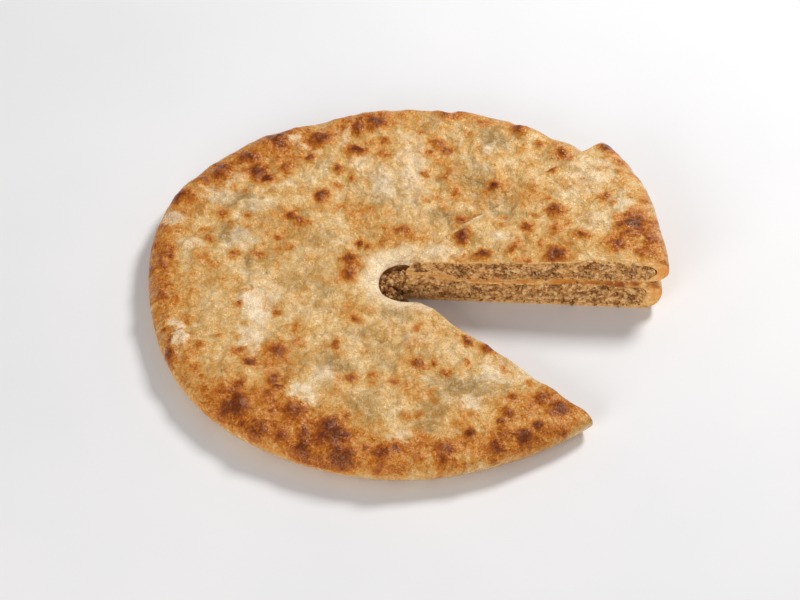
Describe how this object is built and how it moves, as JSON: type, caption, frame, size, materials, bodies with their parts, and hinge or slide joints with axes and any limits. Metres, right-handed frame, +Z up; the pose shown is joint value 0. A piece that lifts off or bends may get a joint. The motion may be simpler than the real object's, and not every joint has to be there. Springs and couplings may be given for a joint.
{
  "type": "flat round filled pie, cut, with its slice on top",
  "caption": "Flat round pie of thin browned dough over minced meat, with a steam hole, a cut wedge gap and the cut wedge lying on top.",
  "frame": {"origin": "middle of the pie's round outline, on the flat underside", "axes": "+Z up; the wedge gap opens towards +X and -Y; the slice lies on the +X and +Y side"},
  "size_m": [0.2995, 0.2867, 0.0405],
  "materials": {
    "baked_dough": "thin baked dough, pale and buttery with browned spots and a golden rim",
    "minced_meat": "cooked minced meat, grey-brown, crumbly and moist"
  },
  "bodies": {
    "root": {"pie_crust": "baked_dough", "pie_filling": "minced_meat", "slice_crust": "baked_dough", "slice_filling": "minced_meat"}
  },
  "joints": []
}
